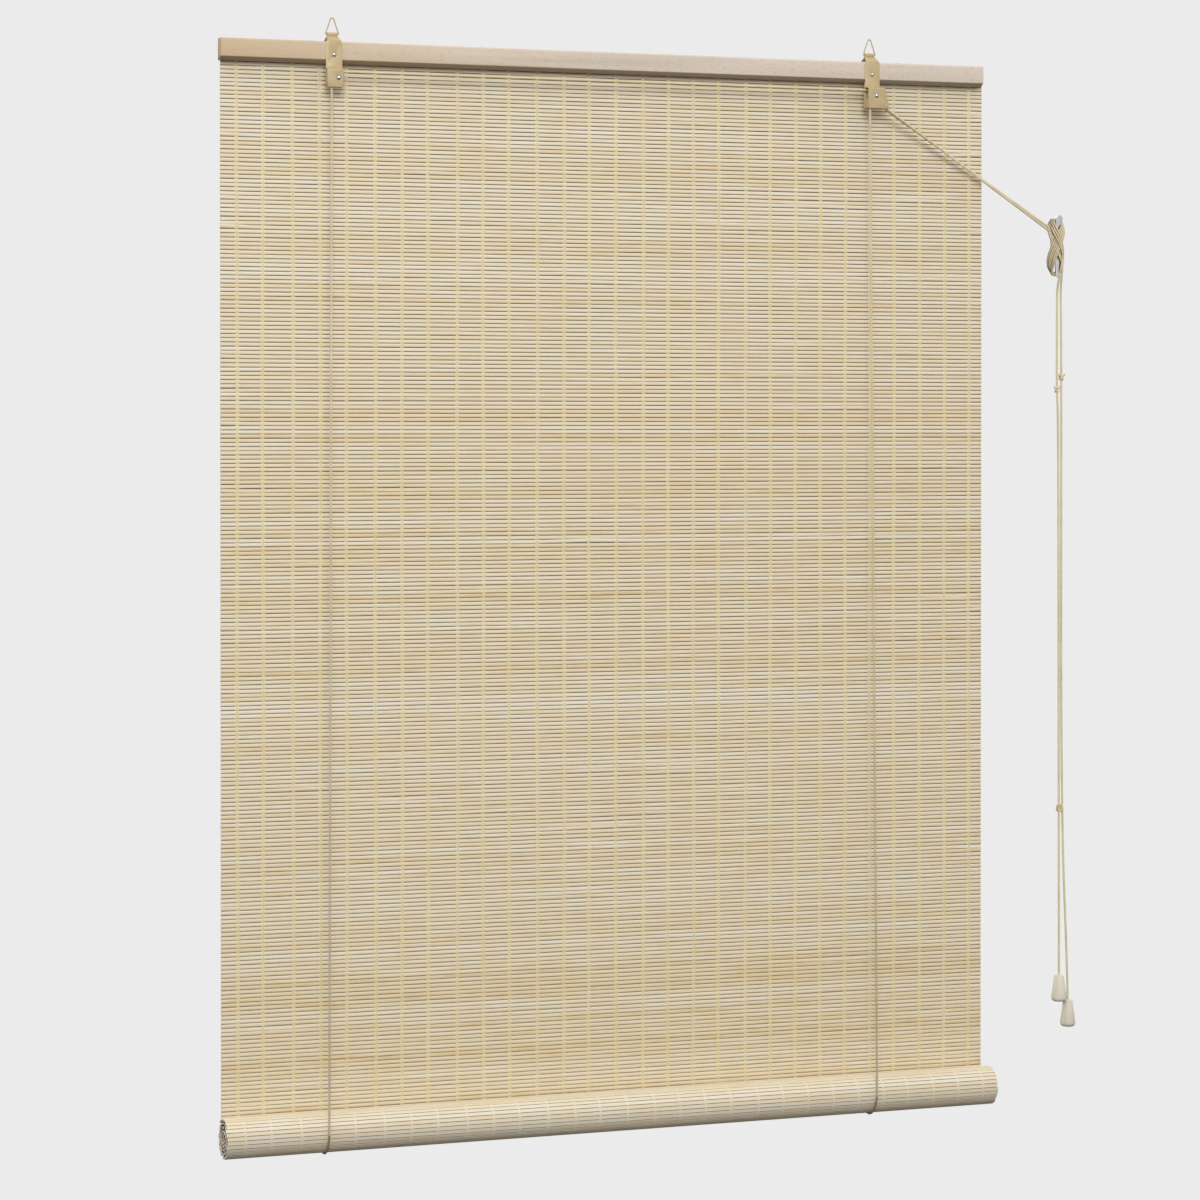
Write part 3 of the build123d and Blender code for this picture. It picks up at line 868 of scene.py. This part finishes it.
def roll_slats():
    count = len(roll_angles) - 1
    outer = int(np.searchsorted(roll_angles, full_turn))
    groove_shade_shares = np.full(count, roll_groove_shade_share)
    mesh, places = shaped_sticks(
        template_stick, count, outer, "rolled_slats", roll_flush, roll_paleness, roll_base_shade, groove_shade_shares
    )
    middle = (roll_angles[:-1] + roll_angles[1:]) / 2
    radius = roll_radius - slat_thickness / 2 - roll_turn_pitch * middle / full_turn
    radius += draw.normal(0, roll_wobble, count) * (middle > full_turn)
    turn = middle[:, None]
    out = places[..., 1] + radius[:, None]
    down = -places[..., 2] * roll_slat_share
    placed = np.stack(
        (
            places[..., 0] * roll_stretch + roll_shift,
            roll_y + out * np.cos(turn) - down * np.sin(turn),
            roll_z - out * np.sin(turn) - down * np.cos(turn),
        ),
        -1,
    )
    set_places(mesh, placed)
    return add_piece(mesh, bamboo, "bamboo", "roll", "mat_roll")


def roll_threads():
    outer_slats = int(np.searchsorted(roll_angles, full_turn)) + roll_thread_spare_slats
    reach = slat_thickness / 2 + strand_height * strand_buried_share
    lines = []
    for line in twined_pair(outer_slats):
        out = line[:, 1] * reach + (line[:, 1] == 0) * strand_dip
        lines.append(wound(line[:, 0] / strand_width_share - roll_shift, out, line[:, 2]))
    template = curve_mesh("roll_thread_template", lines, strand_height)
    mesh, places = repeat_mesh(template, thread_columns, "rolled_threads")
    places[..., 0] *= strand_width_share * roll_thread_share
    places[..., 0] += column_places[:, None] + roll_shift
    set_places(mesh, places)
    return add_piece(mesh, thread, "thread", "roll")


roll_slats()
roll_threads()


def even_points(points, step):
    """Points at even steps along a line of points."""
    line = np.array([tuple(p) for p in points], float)
    lengths = np.linalg.norm(np.diff(line, axis=0), axis=1)
    along = np.concatenate(((0,), np.cumsum(lengths)))
    places = np.linspace(0, along[-1], max(2, round(along[-1] / step) + 1))
    return np.column_stack([np.interp(places, along, line[:, k]) for k in range(3)])


def smooth_cord(name, points):
    """A tightly braided cord along a line of points, round enough to show no strands."""
    line = even_points(points, strand_step)
    return curve_mesh(name, [line], cord_fullness * cord_diameter / 2, resolution=4)


def laid_cord(name, points):
    """Twisted strands along a line of points, as one mesh."""
    line = even_points(points, strand_step)
    ahead = np.gradient(line, axis=0)
    ahead /= np.linalg.norm(ahead, axis=1)[:, None]
    side = np.cross(ahead[0], strand_reference)
    sides = []
    for direction in ahead:
        side = side - direction * np.dot(side, direction)
        side = side / np.linalg.norm(side)
        sides.append(side)
    sides = np.array(sides)
    ups = np.cross(ahead, sides)
    cord_radius = cord_fullness * cord_diameter / 2
    strand_radius = strand_share * cord_radius
    centre_radius = cord_radius - strand_radius
    twist = np.arange(len(line)) * strand_step / strand_lay * full_turn
    strands = []
    for strand in range(strand_count):
        angle = twist + strand / strand_count * full_turn
        away = np.cos(angle)[:, None] * sides + np.sin(angle)[:, None] * ups
        strands.append(line + centre_radius * away)
    return curve_mesh(name, strands, strand_radius, resolution=1)


# Lift cords, taken from where the CAD cords run
def arc(centre, radius, start, sweep):
    """Points of an arc in the XZ plane at a depth, by degrees from +X towards +Z."""
    angles = np.radians(np.linspace(start, start + sweep, arc_steps))
    across = centre[0] + radius * np.cos(angles)
    depth = np.full(arc_steps, centre[1])
    height = centre[2] + radius * np.sin(angles)
    return np.column_stack((across, depth, height))


def middle_of(node):
    low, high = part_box(node)
    return (low + high) / 2


left_axle = middle_of("left_pulley")
front_axle = middle_of("right_front_pulley")
rear_axle = middle_of("right_rear_pulley")
exit_axle = middle_of("exit_roller")
sling_radius = roll_radius + sling_clearance + cord_diameter / 2
pull_slope = math.degrees(math.atan2(pull_fall, pull_run))


def cord_tail(depth):
    """Down from the right pulleys and round the exit roller."""
    centre = (exit_axle.x, depth, exit_axle.z)
    return arc(centre, exit_path_radius, 180, 90 - pull_slope)


def head_cords():
    over_left = arc(left_axle, pulley_pitch_radius, 180, -90)
    over_rear = arc(rear_axle, pulley_pitch_radius, 90, -90)
    left = np.vstack((over_left, over_rear, cord_tail(rear_axle.y)))
    right = np.vstack((arc(front_axle, pulley_pitch_radius, 180, -180), cord_tail(front_axle.y)))
    add_piece(laid_cord("left_head_cord", left), cotton, "cord", "blind", "left_cord_head")
    add_piece(laid_cord("right_head_cord", right), cotton, "cord", "blind", "right_cord_head")


def run_ends(node):
    """The two ends of a straight cord's line, top first, from its box; the top is on the right."""
    low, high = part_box(node)
    inset = cord_diameter / 2
    top = (high.x - inset, high.y - inset, high.z)
    foot = (low.x + inset, low.y + inset, low.z)
    return top, foot


def run_cords():
    for side in ("left", "right"):
        for face in ("front", "back"):
            top, foot = run_ends(f"{side}_cord_{face}")
            mesh = laid_cord(f"{side}_{face}_cord", (top, foot))
            run = add_piece(mesh, lift_cotton, "cord", "blind", f"{side}_cord_{face}")
            keep = 1 - lift_travel / (top[2] - foot[2])
            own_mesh(run)


def sling_cords():
    low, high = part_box("cord_slings")
    for side, x in (("left", low.x + cord_diameter / 2), ("right", high.x - cord_diameter / 2)):
        angles = np.linspace(math.pi, full_turn, sling_steps)
        surface = roll_radius - roll_turn_pitch * (full_turn - angles) / full_turn
        hugging = surface + sling_sunk_share * cord_diameter / 2
        free = np.clip(1 - (angles / math.pi - 1) / sling_free_share, 0, 1) ** 2
        radius = hugging + (sling_radius - hugging) * free
        depth = roll_y + radius * np.cos(angles)
        height = roll_z + radius * np.sin(angles)
        line = np.column_stack((np.full(sling_steps, x), depth, height))
        piece = add_piece(laid_cord(f"{side}_sling", line), sling_cotton, "cord", "slings")
        if side == "left":
            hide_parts("cord_slings")


head_cords()
run_cords()
sling_cords()


# Free pull cords: from the exit roller to the cleat, round it in figure eights, and down to a tassel
def smooth_route(route):
    """Points read from a smooth line with the route's points as its control points."""
    curve = bpy.data.curves.new("route", "CURVE")
    curve.dimensions = "3D"
    curve.resolution_u = route_detail
    spline = curve.splines.new("NURBS")
    spline.points.add(len(route) - 1)
    for point, place in zip(spline.points, route):
        point.co = (*place, 1)
    spline.order_u = 3
    spline.use_endpoint_u = True
    holder = bpy.data.objects.new("route", curve)
    mesh = bpy.data.meshes.new_from_object(holder)
    points = [v.co.copy() for v in mesh.vertices]
    bpy.data.objects.remove(holder)
    bpy.data.curves.remove(curve)
    bpy.data.meshes.remove(mesh)
    return points


def eight_point(turn, number):
    """A point of the figure eights: upper left, across the front, behind the lower horn and back over.

    Each pass keeps a lane and a depth; the passes fan out on the left and gather on the right.
    """
    lanes = eight_lanes[number - 1]
    held = (eight_lane_change_share, 1 - eight_lane_change_share)
    stations = (np.arange(len(lanes))[:, None] + held).ravel()
    lane = np.interp(turn / math.pi, stations, np.repeat(lanes, 2))
    front = np.interp(turn / math.pi, stations, np.repeat(eight_fronts[number - 1], 2)) * mm
    aside = math.sin(turn) ** 2
    sideways = math.sin(2 * turn)
    fan = eight_end_share + (1 - eight_end_share) * aside ** 2
    sorted_lane = lane if math.sin(turn) > 0 else -lane
    left_width = eight_left_width - (sorted_lane + eight_outer_lane) * eight_left_lane_width
    right_width = eight_right_width + sorted_lane * eight_right_lane_width
    width = (left_width * (1 + sideways) + right_width * (1 - sideways)) / 2
    across = eight_shift - width * sideways - eight_lean * sideways ** 2
    up = eight_half_height * math.cos(turn) + eight_rise * aside + lane * eight_lane_rise * fan
    behind = (1 + math.cos(2 * turn)) / 2
    depth = front + (eight_back + cord_diameter * (number - 1) - front) * behind
    depth += lane * eight_lane_depth * sideways ** 2
    return cleat_middle + Vector((across, depth, up))


def pull_route(exit, entry, drop, number):
    """All points of one pull cord."""
    way = (entry - exit).normalized()
    points = [exit, exit + way * straight_lead, entry - way * straight_lead, entry]
    for step in range(eight_first_step, eight_last_steps[number - 1] + 1):
        points.append(eight_point(step / eight_steps * full_turn, number))
    hanging = [Vector(place) * mm for place in drop]
    below = (hanging[2] - hanging[1]).normalized() * straight_lead
    points += [hanging[0], hanging[1], hanging[1] + below, *hanging[2:]]
    return points


def knot_line(place, width, height, turn):
    """An overhand knot as a closed line of three lobes about a point of the cord."""
    angles = np.linspace(0, full_turn, knot_steps, endpoint=False)
    spread = width / 2 / 3
    across = spread * (np.sin(angles) + 2 * np.sin(2 * angles))
    out = spread * (np.cos(angles) - 2 * np.cos(2 * angles))
    up = -height / 2 * np.sin(3 * angles)
    turned_across = across * math.cos(turn) - out * math.sin(turn)
    turned_out = across * math.sin(turn) + out * math.cos(turn)
    return np.column_stack((place[0] + turned_across, place[1] + turned_out, place[2] + up))


def knot_tails(place):
    """The two cut ends that stand out of a knot."""
    tails = []
    for side in (1, -1):
        tails.append(np.array([place + Vector((side * x, y, z)) * mm for x, y, z in knot_tail]))
    return tails


def knot_piece(name, place, width, height, turn, tailed, *stood_for):
    line = knot_line(place, width - cord_diameter, height - cord_diameter, turn)
    bm = bmesh.new()
    bm.from_mesh(curve_mesh("knot_loop", [line], cord_diameter / 2, resolution=2, closed=True))
    if tailed:
        bm.from_mesh(curve_mesh("knot_ends", knot_tails(place), tail_radius, resolution=1))
    return add_piece(mesh_from(bm, name), cotton, "cord", "blind", *stood_for)


def turned(name, centre, outline):
    """A piece turned about an upright axis, from a closed outline of (radius, height)."""
    bm = bmesh.new()
    rim = [bm.verts.new((radius, 0, height)) for radius, height in outline]
    edges = [bm.edges.new(pair) for pair in zip(rim, rim[1:] + rim[:1])]
    bmesh.ops.spin(
        bm,
        geom=rim + edges,
        cent=(0, 0, 0),
        axis=(0, 0, 1),
        angle=full_turn,
        steps=turned_steps,
        use_merge=True,
    )
    bmesh.ops.remove_doubles(bm, verts=bm.verts, dist=merge_distance)
    bmesh.ops.translate(bm, vec=centre, verts=bm.verts)
    return mesh_from(bm, name)


def tassel(number, end):
    """A turned tassel: a cone with a round foot, a bore at the top and a cavity below."""
    low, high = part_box(f"tassel_{number}")
    top = high.z - end.z
    base = low.z - end.z
    bottom_radius = (high.x - low.x) / 2
    outline = [
        (tassel_bore_radius, 0),
        (tassel_bore_radius, top),
        (tassel_top_radius - tassel_edge, top),
        (tassel_top_radius, top - tassel_edge),
    ]
    for step in range(tassel_foot_steps + 1):
        angle = step / tassel_foot_steps * math.pi / 2
        inward = tassel_foot_round * tassel_foot_share * (1 - math.cos(angle))
        outline.append((bottom_radius - inward, base + tassel_foot_round * (1 - math.sin(angle))))
    outline += [(tassel_cavity_radius, base), (tassel_cavity_radius, 0)]
    mesh = turned(f"wooden_tassel_{number}", end, outline)
    return add_piece(mesh, turned_wood, "tassel_wood", "blind", f"tassel_{number}")


def shade_creases(mesh, path):
    """Paints shade on the flanks of the cord where its turns lie side by side on the cleat."""
    low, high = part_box("cord_hank")
    nearest = KDTree(len(path))
    for index, point in enumerate(path):
        nearest.insert(point, index)
    nearest.balance()
    crease_shades = np.zeros(len(mesh.vertices))
    for vertex in mesh.vertices:
        beside = vertex.co.x > low.x - crease_margin
        if beside and low.z < vertex.co.z < high.z + crease_margin:
            outward = (vertex.co - nearest.find(vertex.co)[0]).normalized()
            crease_shades[vertex.index] = (outward.y - crease_shade_start) / (crease_shade_full - crease_shade_start)
    set_values(mesh, "crease", np.clip(crease_shades, 0, 1))


def pull_cords():
    joint = middle_of("joint_knot")
    joint_size = (joint_knot_width, joint_knot_height, joint_knot_turn)
    joint_knot = knot_piece("cord_joint_knot", joint, *joint_size, False, "joint_knot")
    ways = (
        (1, pull_exit_1, pull_entry_1, drop_route_1),
        (2, pull_exit_2, pull_entry_2, drop_route_2),
    )
    for number, exit, entry, drop in ways:
        path = smooth_route(pull_route(exit, entry, drop, number))
        mesh = smooth_cord(f"pull_cord_{number}_laid", path)
        shade_creases(mesh, path)
        stood_for = [f"pull_cord_{number}", f"drop_cord_{number}"] + ["cord_hank"] * (number == 1)
        cord = add_piece(mesh, cotton, "cord", "blind", *stood_for)
        end = Vector(drop[-1]) * mm
        upper = Vector(drop[2]) * mm
        upper_size = (upper_knot_width, upper_knot_height, upper_knot_turn * number)
        upper_knot = knot_piece(
            f"cord_upper_knot_{number}", upper, *upper_size, True, f"upper_knot_{number}"
        )
        end_size = (end_knot_width, end_knot_height, end_knot_turn)
        below_end = end - Vector((0, 0, end_knot_drop))
        end_knot = knot_piece(f"cord_end_knot_{number}", below_end, *end_size, False)
        if number == 1:
            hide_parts("tassel_knots")
        pieces = [upper_knot, end_knot, tassel(number, end)] + [joint_knot] * (number == 1)


pull_cords()


# Head rail, planed, with a rounded top edge and a bevel under its front
def head_rail():
    low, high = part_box("head_rail")
    section = (
        (low.y, high.z),
        (high.y, high.z),
        (high.y, low.z),
        (low.y + rail_bevel_depth, low.z),
        (low.y, low.z + rail_bevel_height),
    )
    bm = bmesh.new()
    end = bm.faces.new([bm.verts.new((low.x, y, z)) for y, z in section])
    made = bmesh.ops.extrude_face_region(bm, geom=[end])["geom"]
    far_end = [v for v in made if isinstance(v, bmesh.types.BMVert)]
    bmesh.ops.translate(bm, vec=(high.x - low.x, 0, 0), verts=far_end)
    long_edges = [e for e in bm.edges if abs(e.verts[0].co.x - e.verts[1].co.x) > mm]
    middle_z = (low.z + high.z) / 2
    top_front = [e for e in long_edges if e.verts[0].co.y < 0 and e.verts[0].co.z > middle_z]
    rest = [e for e in long_edges if e not in top_front]
    rounds = (
        (top_front, rail_top_radius, rail_top_segments),
        (rest, rail_edge_radius, rail_edge_segments),
    )
    for edges, width, segments in rounds:
        bmesh.ops.bevel(
            bm, geom=edges, offset=width, segments=segments, profile=0.5, affect="EDGES", material=-1
        )
    bmesh.ops.bevel(
        bm,
        geom=edges_over(bm, rail_end_angle),
        offset=rail_end_radius,
        segments=rail_edge_segments,
        profile=0.5,
        affect="EDGES",
        material=-1,
    )
    add_piece(mesh_from(bm, "planed_rail"), hardwood, "rail_wood", "blind", "head_rail")


# Fittings: the CAD forms, smooth and with their edges rounded
def fittings():
    forms = (
        ("left_bracket", plate_edge, enamel, "painted_steel", "blind"),
        ("right_bracket", plate_edge, enamel, "painted_steel", "blind"),
        ("left_cage_plate", plate_edge, enamel, "painted_steel", "blind"),
        ("right_cage_plate", plate_edge, enamel, "painted_steel", "blind"),
        ("left_ring", 0, enamel, "bright_steel", "left_hanger"),
        ("right_ring", 0, enamel, "bright_steel", "right_hanger"),
        ("cleat", cleat_edge, cleat_steel, "bright_steel", "blind"),
        ("left_pulley", wheel_edge, nylon, "nylon", "left_pulley_wheel"),
        ("right_front_pulley", wheel_edge, nylon, "nylon", "right_front_wheel"),
        ("right_rear_pulley", wheel_edge, nylon, "nylon", "right_rear_wheel"),
        ("exit_roller", roller_edge, bright_steel, "bright_steel", "exit_wheel"),
        ("exit_pin", roller_edge, enamel, "bright_steel", "blind"),
        ("mat_staples", staple_edge, bright_steel, "bright_steel", "blind"),
        ("cord_staples", staple_edge, bright_steel, "bright_steel", "blind"),
        ("bottom_batten", batten_edge, hardwood, "bamboo", "roll"),
        ("bracket_screws", 0, bright_steel, "bright_steel", "blind"),
        ("axle_rivets", 0, bright_steel, "bright_steel", "blind"),
    )
    for node, edge, finish, slot, body in forms:
        add_piece(softened_copy(node, edge), finish, slot, body, node)


head_rail()
fittings()


# Camera, light and floor
def place_camera():
    data = bpy.data.cameras.new("camera")
    data.sensor_width = sensor
    data.lens = sensor * focal_pixels / photo_pixels
    data.shift_y = camera_shift
    camera = bpy.data.objects.new("camera", data)
    camera.location = camera_place
    camera.rotation_euler = (math.pi / 2 - camera_pitch, 0, -camera_yaw)
    bpy.context.scene.collection.objects.link(camera)
    bpy.context.scene.camera = camera


def soft_light(name, place, target, size, power):
    data = bpy.data.lights.new(name, "AREA")
    data.shape = "DISK"
    data.size = size
    data.energy = power
    lamp = bpy.data.objects.new(name, data)
    lamp.location = place
    lamp.rotation_euler = (Vector(target) - Vector(place)).to_track_quat("-Z", "Y").to_euler()
    bpy.context.scene.collection.objects.link(lamp)


class Surround(Finish):
    """The world's nodes, made like a material's."""

    def __init__(self, name):
        self.material = bpy.data.worlds.new(name)
        self.material.use_nodes = True
        self.tree = self.material.node_tree
        self.shader = self.tree.nodes["Background"]


def backdrop(grey, fill, slope):
    """A plain grey surround that lights the object by a fill that is stronger from above."""
    surround = Surround("surround")
    seen = surround.node("ShaderNodeLightPath", output="Is Camera Ray")
    mirrored = surround.node("ShaderNodeLightPath", output="Is Glossy Ray")
    through = surround.node("ShaderNodeLightPath", output="Is Transmission Ray")
    plain = surround.node("ShaderNodeClamp", None, {0: seen + mirrored + through})
    direction = surround.node("ShaderNodeTexCoord", output="Generated")
    upward = surround.node("ShaderNodeSeparateXYZ", None, {0: direction}, output=2)
    lit = upward * slope + fill
    world = surround.done(Color=(1, 1, 1, 1), Strength=plain * grey + (1 - plain) * lit)
    bpy.context.scene.world = world


def lay_floor(height, near, far, half_width):
    bm = bmesh.new()
    bmesh.ops.create_grid(bm, x_segments=1, y_segments=1, size=0.5)
    bmesh.ops.scale(bm, vec=(2 * half_width, far - near, 1), verts=bm.verts)
    bmesh.ops.translate(bm, vec=(0, (near + far) / 2, height), verts=bm.verts)
    mesh = mesh_from(bm, "floor")
    finish = Finish("pale_floor")
    mottle = finish.noise(finish.places((1, 1, 1)), 3.0, 2.0)
    pale = finish.ramp(mottle, (0.3, (0.80, 0.80, 0.80)), (0.7, (0.83, 0.83, 0.83)))
    seen = finish.node("ShaderNodeLightPath", output="Is Camera Ray")
    colour = finish.mix(seen, floor_bounce, pale)
    mesh.materials.append(finish.done(Base_Color=colour, Roughness=0.9, Specular_IOR_Level=0.1))
    floor = bpy.data.objects.new("floor", mesh)
    bpy.context.scene.collection.objects.link(floor)


place_camera()
object_middle = (cad_box[0] + cad_box[1]) / 2
soft_light("key_light", key_place, object_middle, key_size, key_power)
soft_light("back_light", back_place, object_middle, back_size, back_power)
backdrop(surround_grey, fill_strength, fill_slope)
lay_floor(floor_height, floor_near, floor_far, floor_half_width)

scene = bpy.context.scene
scene.view_settings.view_transform = "Standard"
